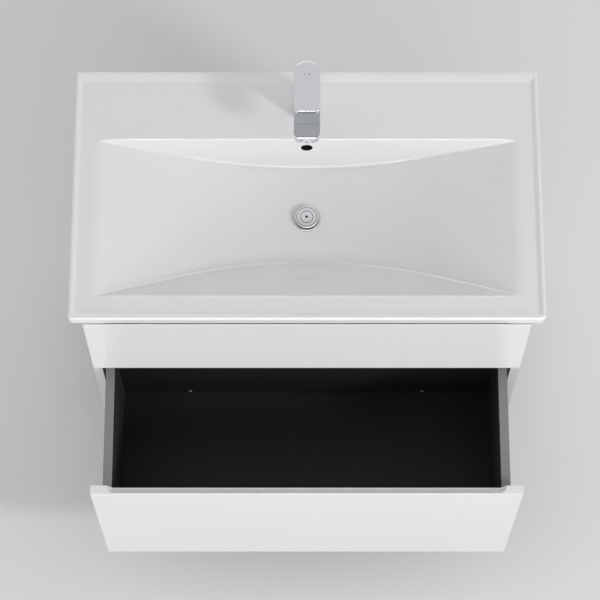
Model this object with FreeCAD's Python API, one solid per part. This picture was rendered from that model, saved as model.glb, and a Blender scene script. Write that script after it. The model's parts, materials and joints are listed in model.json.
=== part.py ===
import FreeCAD, Part
import math
import os

# Floor-standing bathroom vanity: ceramic basin, cabinet with two drawers, mixer, waste and trap.
# Millimetres. +X is right, -Y is the front, +Z is up. Depths are written as distances from the wall.
# The origin is on the floor, under the middle of the object with its lower drawer pulled out.

# Overall sizes
BASIN_WIDTH = 800.0
BASIN_DEPTH = 455.0
TOP_HEIGHT = 850.0
BASIN_OVERHANG = 17.5
LEG_SPACE = 163.0
WALL_GAP = 16.0
DRAWER_OPENING = 229.0
BOARD = 16.0

# Basin rim and deck
RIM_HEIGHT = 19.0
RIM_CORNER = 9.0
RIM_EDGE = 4.5
RIM_UNDER_EDGE = 1.5
RIM_BACK_EDGE = 1.8
LIP_RISE = 3.5
LIP_SIDE = 6.5
LIP_BACK = 8.6
LIP_FRONT = 6.0
LIP_SIDE_RAMP = 6.0
LIP_BACK_RAMP = 10.4
LIP_FRONT_RAMP = 6.0
LIP_CORNER = 6.0
LIP_FILLET = 6.0
DECK_THICKNESS = 12.0
SKIRT_THICKNESS = 14.0

# Basin bowl, a trough whose floor rises to both ends
BOWL_FROM_SIDE = 34.0
BOWL_BACK = 127.0
BOWL_FROM_FRONT = 43.0
BOWL_DEPTH = 95.0
BOWL_WALL = 12.0
BOWL_BACK_ANGLE = 5.6
BOWL_FRONT_ANGLE = 45.0
BOWL_SLOPE = 21.4
BOWL_END_RADIUS = 50.0
BOWL_BACK_EDGE = 4.0
BOWL_FRONT_EDGE = 18.0
BOWL_BACK_FILLET = 6.0
BOWL_CORNER_FILLET = 30.0
BOWL_FRONT_FILLET = 10.0
BOWL_FLARE = 3.0
BOWL_BEYOND = 20.0
EDGE_FULL_SHARE = 0.85
EDGE_END_SHARE = 0.96
EDGE_FADE = 0.1
EDGE_CROSSING = 0.99
CUTTER_RISE = 6.0

# Overflow and waste hole in the basin
OVERFLOW_RADIUS = 10.0
OVERFLOW_DROP = 28.0
DUCT_BACK = 98.0
DUCT_DEPTH = 12.0
DUCT_HALF_WIDTH = 15.0
DUCT_WALL = 8.0
DUCT_HEIGHT = 10.0
DUCT_BEND = 9.0
WASTE_FROM_WALL = 234.5
WASTE_HOLE_RADIUS = 21.3
WASTE_SEAT_RADIUS = 24.3
WASTE_SEAT_DROP = 0.5
WASTE_BOSS_RADIUS = 36.0

# Waste fitting and its plug
FLANGE_RADIUS = 23.3
FLANGE_THICKNESS = 2.3
FLANGE_MOUTH_RADIUS = 18.5
WASTE_THREAD_RADIUS = 20.5
WASTE_BORE_RADIUS = 17.5
WASTE_THREAD_BELOW = 30.0
TAIL_RADIUS = 16.0
TAIL_WALL = 1.5
TAIL_LENGTH = 78.0
TAIL_STEP = 3.0
OVERFLOW_SLOT_HALF = 7.0
SPIDER_HALF_WIDTH = 1.6
SPIDER_DROP = 16.0
SPIDER_HEIGHT = 12.0
SLEEVE_RADIUS = 7.0
PLUG_RADIUS = 20.0
PLUG_EDGE = 2.0
PLUG_DOME = 1.4
PLUG_ROUND = 0.8
PLUG_RING_RADIUS = 11.0
PLUG_RING_WIDTH = 0.9
PLUG_RING_DEPTH = 0.5
PLUG_DIMPLE_RADIUS = 2.0
PLUG_DIMPLE_DEPTH = 2.4
PLUG_LIFT = 4.0
PLUG_TRAVEL = 3.6
STEM_RADIUS = 4.0
STEM_FIT = 0.08
SEAL_THICKNESS = 4.0
SEAL_RADIUS = 31.0
WASTE_NUT_RADIUS = 32.0
WASTE_NUT_HEIGHT = 11.0
SLIP_FIT = 0.15

# Bottle trap
TRAP_RADIUS = 28.0
TRAP_WALL = 2.5
TRAP_ROUND = 5.0
TRAP_NECK_RADIUS = 20.0
TRAP_NECK_HEIGHT = 14.0
TRAP_BODY_HEIGHT = 86.0
TRAP_TOP_BELOW_SLEEVE = 10.0
TRAP_NUT_RADIUS = 24.0
TRAP_NUT_HEIGHT = 16.0
CUP_RADIUS = 31.5
CUP_HEIGHT = 27.0
CUP_OVERLAP = 14.0
CUP_FLUTES = 12
CUP_FLUTE_RADIUS = 3.0
OUTLET_DROP = 27.0
OUTLET_NUT_RADIUS = 23.0
OUTLET_NUT_LENGTH = 16.0
OUTLET_SOCKET_RADIUS = 19.0
OUTLET_SOCKET_LENGTH = 22.0
OUTLET_SEAT_RADIUS = 15.5
OUTLET_STEP_GAP = 1.0

# Fronts and their finger pulls
FRONT_THICKNESS = 16.0
FRONT_SETBACK = 2.0
FRONT_TOP_GAP = 15.0
UPPER_FRONT_HEIGHT = 231.0
FRONT_GAP = 8.0
FRONT_DROP = 3.0
FRONT_SIDE_INSET = 4.0
FRONT_EDGE = 1.2
FRONT_SIDE_EDGE = 3.0
PULL_DEPTH = 15.0
PULL_NOSE = 2.5
PULL_LEDGE = 2.6
PULL_END = 42.0
BUMPER_RADIUS = 4.0
BUMPER_THICKNESS = 1.3
BUMPER_GAP = 0.2
BUMPER_FROM_EDGE = 20.0

# Drawer boxes
SIDE_CLEARANCE = 8.5
BOX_LENGTH = 270.0
DRAWER_FLOOR = 12.0
SIDE_BELOW_FLOOR = 13.0
LOWER_SIDE_DROP = 22.0
LOWER_BOX_DEPTH = 242.0
UPPER_BOX_DEPTH = 82.0
UPPER_FLOOR_RISE = 54.0
RECESS_HALF_WIDTH = 72.0
RECESS_AHEAD = 62.0
BACK_SCREW_X = 218.0
BACK_SCREW_RISE = 12.0
ANGLE_LEG = 26.0
ANGLE_HEIGHT = 44.0
ANGLE_SHEET = 2.0
ANGLE_SCREW_REACH = 16.0

# Cabinet rails, dowels and wall holes
MIDDLE_RAIL_DEPTH = 60.0
MIDDLE_RAIL_BELOW = 2.0
BACK_RAIL_HEIGHT = 100.0
UPPER_RAIL_BELOW_DECK = 14.0
BOTTOM_FRONT_INSET = 2.0
DOWEL_RADIUS = 4.0
DOWEL_LENGTH = 30.0
DOWEL_IN_SIDE = 11.0
DOWEL_INSET = 30.0
BOTTOM_DOWEL_INSET = 60.0
DOWEL_FIT = 0.05
WALL_HOLE_SPACING = 500.0
WALL_HOLE_RADIUS = 4.5

# Concealed runners
RUNNER_LENGTH = 270.0
RUNNER_SHEET = 1.5
RUNNER_WIDTH = 34.0
RUNNER_HEIGHT = 36.0
RUNNER_INSET = 3.0
RAIL_FLANGE = 22.0
RAIL_LIP = 14.0
MIDDLE_INSET = 3.5
MIDDLE_WALL = 14.0
MIDDLE_LIP = 4.0
SLIDE_LOWER_FLANGE = 9.0
SLIDE_UPPER_FLANGE = 16.0
ROLLER_RADIUS = 2.0
ROLLER_GAP = 0.2
ROLLER_LENGTH = 8.0
ROLLER_FROM_END = 20.0
ROLLER_SPACING = 80.0
RAIL_SCREW_SPACING = 110.0
RAIL_SCREW_RISE = 13.0

# Screws, each a pan head on a plain shank
SCREW_HEAD_RADIUS = 3.4
SCREW_HEAD_HEIGHT = 1.8
SCREW_SHANK_RADIUS = 1.75
SCREW_LENGTH = 11.0
SCREW_FIT = 0.05

# Legs
LEG_FROM_SIDE = 60.0
LEG_FROM_ENDS = 52.0
LEG_TOP_RADIUS = 20.0
LEG_FOOT_RADIUS = 14.0
LEG_COLLAR = 8.0
LEG_SPIGOT_RADIUS = 5.0
PLATE_SIZE = 64.0
PLATE_CORNER = 8.0
PLATE_THICKNESS = 3.0
PLATE_SCREW_PITCH = 46.0
PAD_THICKNESS = 5.0
PAD_STEM_RADIUS = 5.0
PAD_STEM = 12.0
PAD_EDGE = 1.0

# Mixer body and spout, measured from the axis of its column
MIXER_FROM_WALL = 63.0
MIXER_WIDTH = 44.0
MIXER_GASKET = 1.5
MIXER_GASKET_INSET = 0.8
MIXER_BODY_HEIGHT = 97.0
DECK_HOLE_RADIUS = 17.5
SPOUT_REACH = 102.0
SPOUT_UNDER = 71.0
SPOUT_TIP = 17.0
SPOUT_CORNER = 12.0
SPOUT_NOSE = 4.0
SPOUT_EDGE = 2.0
SPOUT_THROAT = 22.0
SPOUT_SHOULDER = 27.0
AERATOR_RADIUS = 11.5
AERATOR_DEPTH = 13.0
AERATOR_PROUD = 1.5
AERATOR_FROM_TIP = 15.0
AERATOR_BORE_RADIUS = 8.5
AERATOR_BORE = 6.0

# Mixer fixing under the deck and its water inlets
STUD_RADIUS = 4.0
STUD_AHEAD = 10.0
STUD_IN_BODY = 10.0
STUD_BELOW_DECK = 34.0
CLAMP_RADIUS = 23.0
CLAMP_THICKNESS = 3.0
CLAMP_NOTCH_HALF = 13.0
CLAMP_NOTCH_EDGE = 3.5
STUD_NUT_FLATS = 13.0
STUD_NUT_HEIGHT = 9.0
INLET_RADIUS = 4.5
INLET_HALF_SPACING = 7.5
INLET_BEHIND = 5.0
INLET_DEPTH = 16.0

# Mixer cartridge and lever
CARTRIDGE_RADIUS = 16.8
CARTRIDGE_HEIGHT = 38.0
CARTRIDGE_FIT = 0.15
CARTRIDGE_NUT_HEIGHT = 7.0
CARTRIDGE_NUT_BORE = 11.0
CARRIER_RADIUS = 10.0
CARRIER_RISE = 7.0
CARRIER_GAP = 0.3
CARRIER_BASE = 1.0
LEVER_GAP = 1.0
LEVER_HEIGHT = 31.0
LEVER_PLATE = 10.0
LEVER_REACH = 70.0
LEVER_CORNER = 9.0
LEVER_HUB = 24.0
LEVER_THROAT = 9.0
LEVER_HEEL_ANGLE = 26.0
LEVER_EDGE = 1.0
LEVER_CAVITY_RADIUS = 16.5
LEVER_CAVITY_DEPTH = 17.0
LEVER_SOCKET_DEPTH = 8.0
LIFT_AXIS_BELOW_TOP = 1.0
STEM_SIZE = 8.0
STEM_SLOT_FIT = 0.3
STEM_BELOW_AXIS = 3.0
PIN_RADIUS = 2.0
PIN_FIT = 0.05

# Heights and depths worked out from the sizes above
RIM_BOTTOM = TOP_HEIGHT - RIM_HEIGHT
DECK_TOP = TOP_HEIGHT - LIP_RISE
DECK_UNDER = DECK_TOP - DECK_THICKNESS
BOWL_FLOOR = DECK_TOP - BOWL_DEPTH
BOWL_UNDER = BOWL_FLOOR - BOWL_WALL
BOWL_HALF_LENGTH = BASIN_WIDTH / 2 - BOWL_FROM_SIDE
BOWL_FRONT = BASIN_DEPTH - BOWL_FROM_FRONT
EDGE_FULL_HALF = BOWL_HALF_LENGTH * EDGE_FULL_SHARE
EDGE_END_HALF = BOWL_HALF_LENGTH * EDGE_END_SHARE
BOSS_BOTTOM = BOWL_UNDER - DUCT_HEIGHT - DUCT_WALL
FRONT_FACE = BASIN_DEPTH - FRONT_SETBACK
FRONT_BACK = FRONT_FACE - FRONT_THICKNESS
CABINET_WIDTH = BASIN_WIDTH - 2 * BASIN_OVERHANG
CABINET_FRONT = FRONT_BACK - BUMPER_THICKNESS - BUMPER_GAP
WALL_Y = (FRONT_FACE + DRAWER_OPENING) / 2
SIDE_INNER = CABINET_WIDTH / 2 - BOARD
BOX_HALF = SIDE_INNER - SIDE_CLEARANCE
BOX_INNER = BOX_HALF - BOARD
BOX_BACK = FRONT_BACK - BOX_LENGTH
UPPER_FRONT_TOP = RIM_BOTTOM - FRONT_TOP_GAP
UPPER_FRONT_BOTTOM = UPPER_FRONT_TOP - UPPER_FRONT_HEIGHT
LOWER_FRONT_TOP = UPPER_FRONT_BOTTOM - FRONT_GAP
LOWER_FRONT_BOTTOM = LEG_SPACE - FRONT_DROP
LOWER_SIDE_TOP = LOWER_FRONT_TOP - LOWER_SIDE_DROP
LOWER_FLOOR_TOP = LOWER_SIDE_TOP - LOWER_BOX_DEPTH
UPPER_FLOOR_TOP = UPPER_FRONT_BOTTOM + UPPER_FLOOR_RISE
UPPER_SIDE_TOP = UPPER_FLOOR_TOP + UPPER_BOX_DEPTH
MIDDLE_RAIL_TOP = UPPER_FRONT_BOTTOM - MIDDLE_RAIL_BELOW
UPPER_RAIL_TOP = DECK_UNDER - UPPER_RAIL_BELOW_DECK
MIXER_BASE = DECK_TOP + MIXER_GASKET
MIXER_TOP = MIXER_BASE + MIXER_BODY_HEIGHT
LEVER_BOTTOM = MIXER_TOP + LEVER_GAP
LEVER_TOP = LEVER_BOTTOM + LEVER_HEIGHT
LIFT_AXIS = MIXER_TOP - LIFT_AXIS_BELOW_TOP
MIXER_RADIUS = MIXER_WIDTH / 2


def y_at(distance):
    """Y of a plane at this distance from the wall."""
    return WALL_Y - distance


def block(x0, x1, near, far, z0, z1):
    """Box between two distances from the wall."""
    return Part.makeBox(x1 - x0, far - near, z1 - z0, FreeCAD.Vector(x0, y_at(far), z0))


def disc(x, distance, z0, z1, radius):
    """Upright cylinder."""
    return Part.makeCylinder(radius, z1 - z0, FreeCAD.Vector(x, y_at(distance), z0))


def bar_x(x0, x1, distance, z, radius):
    """Cylinder along X."""
    start = FreeCAD.Vector(x0, y_at(distance), z)
    return Part.makeCylinder(radius, x1 - x0, start, FreeCAD.Vector(1, 0, 0))


def bar_y(x, near, far, z, radius):
    """Cylinder along the depth, between two distances from the wall."""
    start = FreeCAD.Vector(x, y_at(near), z)
    return Part.makeCylinder(radius, far - near, start, FreeCAD.Vector(0, -1, 0))


def corner_points(before, here, after, radius):
    """Start, middle and end of the arc that rounds one corner of a profile."""
    if radius == 0:
        return [here]
    back = (before - here).normalize()
    ahead = (after - here).normalize()
    half = back.getAngle(ahead) / 2
    inward = (back + ahead).normalize()
    reach = radius / math.tan(half)
    middle = here + inward * (radius / math.sin(half) - radius)
    return [here + back * reach, middle, here + ahead * reach]


def rounded_wire(points, radii, place):
    """Closed wire through a profile's corners, each rounded by its radius, set in space by place(u, v)."""
    flat = [FreeCAD.Vector(u, v, 0) for u, v in points]
    count = len(flat)
    corners = []
    for i in range(count):
        corners.append(corner_points(flat[i - 1], flat[i], flat[(i + 1) % count], radii[i]))
    edges = []
    for i, corner in enumerate(corners):
        if len(corner) == 3:
            edges.append(Part.Arc(*[place(p.x, p.y) for p in corner]).toShape())
        start = corner[-1]
        end = corners[(i + 1) % count][0]
        if start.distanceToPoint(end) > 1e-6:
            edges.append(Part.makeLine(place(start.x, start.y), place(end.x, end.y)))
    return Part.Wire(edges)


def no_rounding(points):
    return [0] * len(points)


def across(points, radii, x0, x1):
    """Profile of (distance from the wall, height), extruded along X."""
    wire = rounded_wire(points, radii, lambda u, v: FreeCAD.Vector(x0, y_at(u), v))
    return Part.Face(wire).extrude(FreeCAD.Vector(x1 - x0, 0, 0))


def along(points, near, far):
    """Profile of (x, height), extruded along the depth between two distances from the wall."""
    wire = rounded_wire(points, no_rounding(points), lambda u, v: FreeCAD.Vector(u, y_at(near), v))
    return Part.Face(wire).extrude(FreeCAD.Vector(0, near - far, 0))


def upright(points, radii, z0, z1):
    """Plan of (x, distance from the wall), extruded up."""
    wire = rounded_wire(points, radii, lambda u, v: FreeCAD.Vector(u, y_at(v), z0))
    return Part.Face(wire).extrude(FreeCAD.Vector(0, 0, z1 - z0))


def turned(points, radii, x, distance):
    """Profile of (radius, height), turned about an upright axis."""
    y = y_at(distance)
    wire = rounded_wire(points, radii, lambda u, v: FreeCAD.Vector(x + u, y, v))
    return Part.Face(wire).revolve(FreeCAD.Vector(x, y, 0), FreeCAD.Vector(0, 0, 1), 360)


def strip(path, thickness):
    """Outline of bent sheet of this thickness, whose middle follows the path."""
    left = []
    right = []
    points = [FreeCAD.Vector(u, v, 0) for u, v in path]
    for i, here in enumerate(points):
        before = here - points[i - 1] if i else points[1] - here
        after = points[i + 1] - here if i + 1 < len(points) else before
        first = FreeCAD.Vector(-before.y, before.x, 0).normalize()
        second = FreeCAD.Vector(-after.y, after.x, 0).normalize()
        offset = (first + second) * (thickness / 2 / (1 + first.dot(second)))
        left.append((here.x + offset.x, here.y + offset.y))
        right.append((here.x - offset.x, here.y - offset.y))
    return left + right[::-1]


def mirrored(shape):
    return shape.mirror(FreeCAD.Vector(0, 0, 0), FreeCAD.Vector(1, 0, 0))


def both_sides(shape):
    """A right-hand solid with its left-hand twin."""
    return Part.makeCompound([mirrored(shape), shape])


def edges_in_plane(shape, axis, value):
    """Edges that lie in the plane where this axis has this value."""
    found = []
    for edge in shape.Edges:
        low = getattr(edge.BoundBox, axis + "Min")
        high = getattr(edge.BoundBox, axis + "Max")
        if abs(low - value) < 1e-3 and abs(high - value) < 1e-3:
            found.append(edge)
    return found


def upright_edges(shape):
    """Straight edges that run up and down."""
    return [e for e in shape.Edges if e.BoundBox.XLength < 1e-3 and e.BoundBox.YLength < 1e-3]


def moved(shape, ahead):
    """Copy moved towards the front."""
    return shape.translated(FreeCAD.Vector(0, -ahead, 0))


def screw(x, distance, z, direction):
    """Pan-head screw whose head's underside is at this point and whose shank runs along direction."""
    base = FreeCAD.Vector(x, y_at(distance), z)
    top = base - direction * SCREW_HEAD_HEIGHT
    head = Part.makeCylinder(SCREW_HEAD_RADIUS, SCREW_HEAD_HEIGHT, top, direction)
    return head.fuse(Part.makeCylinder(SCREW_SHANK_RADIUS, SCREW_LENGTH, base, direction))


def screw_hole(x, distance, z, direction):
    """Hole for the shank of that screw."""
    base = FreeCAD.Vector(x, y_at(distance), z)
    return Part.makeCylinder(SCREW_SHANK_RADIUS + SCREW_FIT, SCREW_LENGTH + SCREW_FIT, base, direction)


# Basin

def bowl_curve():
    """Radius of the floor's middle arc and length of the slope beside it, from the bowl's length and depth."""
    rising = math.sin(math.radians(BOWL_SLOPE))
    level = math.cos(math.radians(BOWL_SLOPE))
    run = BOWL_HALF_LENGTH - BOWL_END_RADIUS * rising
    rise = BOWL_DEPTH - BOWL_END_RADIUS * (1 - level)
    radius = (run * rising - rise * level) / (1 - level)
    return radius, (run - radius * rising) / level


def arc_on(start, slopes, radius, bend):
    """Middle and end of an arc of (x, height) that leaves start and turns from one slope to another."""
    first, last = slopes

    def at(slope):
        run = bend * radius * (math.sin(slope) - math.sin(first))
        rise = bend * radius * (math.cos(first) - math.cos(slope))
        return start[0] + run, start[1] + rise

    return at((first + last) / 2), at(last)


def bowl_trough():
    """Prism along the depth whose underside is the bowl's floor: an arc, and slopes that roll into the deck."""
    radius, length = bowl_curve()
    slope = math.radians(BOWL_SLOPE)
    flare = math.radians(BOWL_FLARE)
    bottom = (0, BOWL_FLOOR)
    climb = arc_on(bottom, (0, slope), radius, 1)[1]
    crest = (climb[0] + length * math.cos(slope), climb[1] + length * math.sin(slope))
    roll, edge = arc_on(crest, (slope, flare), BOWL_END_RADIUS, -1)
    tip = (edge[0] + BOWL_BEYOND, edge[1] + BOWL_BEYOND * math.tan(flare))
    top = (tip[0], DECK_TOP + 2 * BOWL_BEYOND)

    def right(point):
        return FreeCAD.Vector(point[0], y_at(0), point[1])

    def left(point):
        return FreeCAD.Vector(-point[0], y_at(0), point[1])

    edges = [Part.Arc(left(climb), right(bottom), right(climb)).toShape()]
    for side in (right, left):
        edges.append(Part.makeLine(side(climb), side(crest)))
        edges.append(Part.Arc(side(crest), side(roll), side(edge)).toShape())
        edges.append(Part.makeLine(side(edge), side(tip)))
        edges.append(Part.makeLine(side(tip), side(top)))
    edges.append(Part.makeLine(left(top), right(top)))
    wire = Part.Wire(Part.__sortEdges__(edges))
    return Part.Face(wire).extrude(FreeCAD.Vector(0, -BASIN_DEPTH, 0))


def back_wall(z, thickness=0):
    """Distance from the wall of the bowl's back face at this height, or of a face this far outside it."""
    lean = math.radians(BOWL_BACK_ANGLE)
    return BOWL_BACK + (DECK_TOP - z) * math.tan(lean) - thickness / math.cos(lean)


def front_wall(z, thickness=0):
    """The same for the bowl's front face."""
    lean = math.radians(BOWL_FRONT_ANGLE)
    return BOWL_FRONT - (DECK_TOP - z) * math.tan(lean) + thickness / math.cos(lean)


def bowl_wedge(low, high, thickness=0):
    """Prism along X between the bowl's back and front faces."""
    points = [
        (back_wall(low, thickness), low),
        (front_wall(low, thickness), low),
        (front_wall(high, thickness), high),
        (back_wall(high, thickness), high),
    ]
    return across(points, no_rounding(points), -BASIN_WIDTH / 2, BASIN_WIDTH / 2)


def floor_edges(hollow, wall):
    """Edges where the bowl's floor meets one of its two faces."""
    found = []
    for edge in hollow.Edges:
        on_wall = all(abs(WALL_Y - p.y - wall(p.z)) < 1e-3 for p in edge.discretize(5))
        if on_wall and edge.BoundBox.XLength > 1 and edge.BoundBox.ZMin < DECK_TOP + BOWL_BEYOND / 2:
            found.append(edge)
    return found


def deck_edge(corner, outward, lean, radius):
    """Cutter that rounds the deck's edge over one face of the bowl, fading out towards both ends."""
    slope = math.radians(lean)
    deck_way = FreeCAD.Vector(outward, 0, 0)
    wall_way = FreeCAD.Vector(-outward * math.sin(slope), -math.cos(slope), 0)
    half = deck_way.getAngle(wall_way) / 2
    inward = (deck_way + wall_way).normalize()
    clear = FreeCAD.Vector(-outward * math.cos(slope), math.sin(slope), 0)

    def section(x, size):
        centre = FreeCAD.Vector(corner, DECK_TOP, 0) + inward * (EDGE_CROSSING * size / math.sin(half))
        over = centre + FreeCAD.Vector(0, size, 0)
        face = centre + clear * size
        crown = centre - inward * size
        inside = FreeCAD.Vector(face.x - outward * size, face.y, 0)
        top = DECK_TOP + CUTTER_RISE
        spots = [FreeCAD.Vector(x, y_at(p.x), p.y) for p in (over, crown, face, inside)]
        lid = [FreeCAD.Vector(x, y_at(inside.x), top), FreeCAD.Vector(x, y_at(over.x), top)]
        edges = [Part.Arc(spots[0], spots[1], spots[2]).toShape()]
        line = [spots[2], spots[3], lid[0], lid[1], spots[0]]
        edges += [Part.makeLine(a, b) for a, b in zip(line, line[1:])]
        return Part.Wire(edges)

    full = section(-EDGE_FULL_HALF, radius)
    fade = radius * EDGE_FADE
    ends = []
    for side in (-1, 1):
        wires = [section(side * EDGE_FULL_HALF, radius), section(side * EDGE_END_HALF, fade)]
        ends.append(Part.makeLoft(wires, True, True))
    return [Part.Face(full).extrude(FreeCAD.Vector(2 * EDGE_FULL_HALF, 0, 0))] + ends


def bowl_hollow():
    """Halves of the space in the bowl, its floor filleted into both faces, and the rounding of its edges."""
    top = DECK_TOP + BOWL_BEYOND
    half = bowl_trough().common(bowl_wedge(BOWL_UNDER, top))
    half = half.common(block(0, BASIN_WIDTH / 2, 0, BASIN_DEPTH, BOWL_UNDER, top))
    half = half.makeFillet(BOWL_CORNER_FILLET, BOWL_BACK_FILLET, floor_edges(half, back_wall)[:1])
    half = half.makeFillet(BOWL_FRONT_FILLET, floor_edges(half, front_wall))
    rounds = deck_edge(BOWL_BACK, -1, BOWL_BACK_ANGLE, BOWL_BACK_EDGE)
    rounds += deck_edge(BOWL_FRONT, 1, BOWL_FRONT_ANGLE, BOWL_FRONT_EDGE)
    return [half, mirrored(half)] + rounds


def bowl_outside():
    """The bowl's underside, one wall thickness below its floor and outside its faces."""
    trough = bowl_trough().translated(FreeCAD.Vector(0, 0, -BOWL_WALL))
    return trough.common(bowl_wedge(BOWL_UNDER - BOWL_WALL, DECK_UNDER + DECK_THICKNESS / 2, BOWL_WALL))


def overflow_duct():
    """Outside and inside of the passage behind and under the bowl, from the overflow to the waste hole."""
    top = DECK_TOP - OVERFLOW_DROP + OVERFLOW_RADIUS
    front = WASTE_FROM_WALL - WASTE_HOLE_RADIUS + DUCT_WALL
    low = BOWL_UNDER - DUCT_HEIGHT
    inside = [
        (DUCT_BACK, top),
        (DUCT_BACK, low),
        (front, low),
        (front, BOWL_UNDER),
        (DUCT_BACK + DUCT_DEPTH, BOWL_UNDER),
        (DUCT_BACK + DUCT_DEPTH, top),
    ]
    outside = [
        (DUCT_BACK - DUCT_WALL, DECK_UNDER + DUCT_WALL / 2),
        (DUCT_BACK - DUCT_WALL, BOSS_BOTTOM),
        (WASTE_FROM_WALL, BOSS_BOTTOM),
        (WASTE_FROM_WALL, BOWL_UNDER + BOWL_WALL / 2),
        (BOWL_BACK, BOWL_UNDER + BOWL_WALL / 2),
        (BOWL_BACK, DECK_UNDER + DUCT_WALL / 2),
    ]
    half = DUCT_HALF_WIDTH + DUCT_WALL
    shell = across(outside, [0, DUCT_BEND + DUCT_WALL, 0, 0, 0, 0], -half, half)
    hollow = across(inside, [0, DUCT_BEND, 0, 0, 0, 0], -DUCT_HALF_WIDTH, DUCT_HALF_WIDTH)
    return shell, hollow


def lip_outline(rise):
    """Plan of the space inside the rim's sloping lip, this far above the deck."""
    share = 1 - rise / LIP_RISE
    side = BASIN_WIDTH / 2 - LIP_SIDE - LIP_SIDE_RAMP * share
    back = LIP_BACK + LIP_BACK_RAMP * share
    front = BASIN_DEPTH - LIP_FRONT - LIP_FRONT_RAMP * share
    points = [(-side, back), (side, back), (side, front), (-side, front)]
    return rounded_wire(points, no_rounding(points), lambda u, v: FreeCAD.Vector(u, y_at(v), DECK_TOP + rise))


def deck_pocket():
    """Space over the deck, inside a lip that slopes up to the rim and is filleted into the deck."""
    pocket = Part.makeLoft([lip_outline(0), lip_outline(LIP_RISE + CUTTER_RISE)], True, True)
    pocket = pocket.makeFillet(LIP_CORNER, [e for e in pocket.Edges if e.BoundBox.ZLength > 1])
    return pocket.makeFillet(LIP_FILLET, edges_in_plane(pocket, "Z", DECK_TOP))


def make_basin():
    half = BASIN_WIDTH / 2
    slab = block(-half, half, -2 * RIM_CORNER, BASIN_DEPTH, RIM_BOTTOM, TOP_HEIGHT)
    slab = slab.makeFillet(RIM_CORNER, upright_edges(slab))
    slab = slab.makeFillet(RIM_EDGE, edges_in_plane(slab, "Z", TOP_HEIGHT))
    slab = slab.makeFillet(RIM_UNDER_EDGE, edges_in_plane(slab, "Z", RIM_BOTTOM))
    slab = slab.cut(block(-half, half, -2 * RIM_CORNER, 0, RIM_BOTTOM, TOP_HEIGHT))
    slab = slab.makeFillet(RIM_BACK_EDGE, edges_in_plane(slab, "Y", y_at(0)))
    inner = half - SKIRT_THICKNESS
    skirt = (SKIRT_THICKNESS, BASIN_DEPTH - SKIRT_THICKNESS)
    under = block(-inner, inner, *skirt, RIM_BOTTOM - CUTTER_RISE, DECK_UNDER)
    shell, hollow = overflow_duct()
    boss = disc(0, WASTE_FROM_WALL, BOSS_BOTTOM, BOWL_FLOOR, WASTE_BOSS_RADIUS)
    basin = slab.cut([deck_pocket(), under])
    basin = basin.fuse([bowl_outside(), shell, boss])
    overflow_height = DECK_TOP - OVERFLOW_DROP
    cuts = bowl_hollow() + [
        hollow,
        bar_y(0, DUCT_BACK + DUCT_DEPTH / 2, BOWL_BACK + DUCT_DEPTH, overflow_height, OVERFLOW_RADIUS),
        disc(0, WASTE_FROM_WALL, BOSS_BOTTOM - CUTTER_RISE, BOWL_FLOOR, WASTE_HOLE_RADIUS),
        disc(0, WASTE_FROM_WALL, BOWL_FLOOR - WASTE_SEAT_DROP, BOWL_FLOOR + CUTTER_RISE, WASTE_SEAT_RADIUS),
        disc(0, MIXER_FROM_WALL, DECK_UNDER - CUTTER_RISE, DECK_TOP + CUTTER_RISE, DECK_HOLE_RADIUS),
    ]
    return basin.cut(cuts).removeSplitter()


# Cabinet

def dowel_places():
    """(distance from the wall, height) of the dowels that pin each board's end to a side panel."""
    bottom = LEG_SPACE + BOARD / 2
    bottom_ends = (WALL_GAP + BOTTOM_DOWEL_INSET, CABINET_FRONT - BOTTOM_DOWEL_INSET)
    back = WALL_GAP + BOARD / 2
    rail_middle = CABINET_FRONT - MIDDLE_RAIL_DEPTH / 2
    upper_rail_bottom = UPPER_RAIL_TOP - BACK_RAIL_HEIGHT
    return {
        "bottom_panel": [(distance, bottom) for distance in bottom_ends],
        "middle_rail": [(rail_middle, MIDDLE_RAIL_TOP - BOARD / 2)],
        "upper_back_rail": [(back, UPPER_RAIL_TOP - DOWEL_INSET), (back, upper_rail_bottom + DOWEL_INSET)],
        "lower_back_rail": [(back, LEG_SPACE + BOARD + BACK_RAIL_HEIGHT / 2)],
    }


def dowel(place, fit):
    """Right-hand dowel, or its hole where fit widens it."""
    start = SIDE_INNER - DOWEL_LENGTH + DOWEL_IN_SIDE - fit
    return bar_x(start, SIDE_INNER + DOWEL_IN_SIDE + fit, *place, DOWEL_RADIUS + fit)


def dowel_holes(places):
    holes = [dowel(p, DOWEL_FIT) for p in places]
    return holes + [mirrored(h) for h in holes]


def leg_places():
    """(x, distance from the wall) of the right-hand legs, front and rear."""
    x = CABINET_WIDTH / 2 - LEG_FROM_SIDE
    return {"front": (x, CABINET_FRONT - LEG_FROM_ENDS), "rear": (x, WALL_GAP + LEG_FROM_ENDS)}


def plate_screws():
    """(x, distance) of the screws of every leg plate."""
    places = []
    step = PLATE_SCREW_PITCH / 2
    for x, distance in leg_places().values():
        for side in (1, -1):
            places += [(side * x + i * step, distance + j * step) for i in (-1, 1) for j in (-1, 1)]
    return places


def rail_screw_places(floor_under):
    """(distance, height) of the screws that hold a cabinet rail to its side panel."""
    middle = CABINET_FRONT - RUNNER_INSET - RUNNER_LENGTH / 2
    height = floor_under - RUNNER_HEIGHT + RAIL_SCREW_RISE
    return [(middle + i * RAIL_SCREW_SPACING, height) for i in (-1, 0, 1)]


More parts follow.
